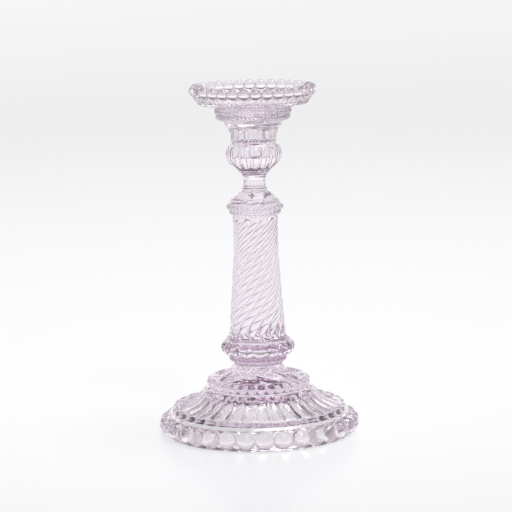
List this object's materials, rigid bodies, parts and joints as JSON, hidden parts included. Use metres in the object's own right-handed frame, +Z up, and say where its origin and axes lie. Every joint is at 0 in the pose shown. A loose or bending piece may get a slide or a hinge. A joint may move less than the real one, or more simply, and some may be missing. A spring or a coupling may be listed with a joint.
{
  "type": "glass candlestick",
  "caption": "Tall pressed-glass candlestick: beaded drip pan that lifts off, panelled candle cup, column of twisted reeds and fluted foot with a beaded rim.",
  "frame": {"origin": "centre of the foot's flat land, where the candlestick stands on the table", "axes": "+Z up along the candlestick's axis; -Y is the front, where one bead of each ring points"},
  "size_m": [0.144, 0.144, 0.2502],
  "materials": {
    "pan_glass": "polished, pale lilac tint",
    "cup_glass": "polished, pale lilac tint",
    "column_glass": "polished, pale lilac tint",
    "foot_glass": "polished, pale lilac tint"
  },
  "bodies": {
    "stick": {"foot": "foot_glass", "foot_wafer": "column_glass", "column": "column_glass", "neck_wafer": "cup_glass", "candle_cup": "cup_glass"},
    "pan": {"drip_pan": "pan_glass"}
  },
  "joints": [
    {"name": "pan_lift", "type": "slide", "parent": "stick", "child": "pan", "axis": [0, 0, 1], "range_m": [0, 0.03]}
  ]
}
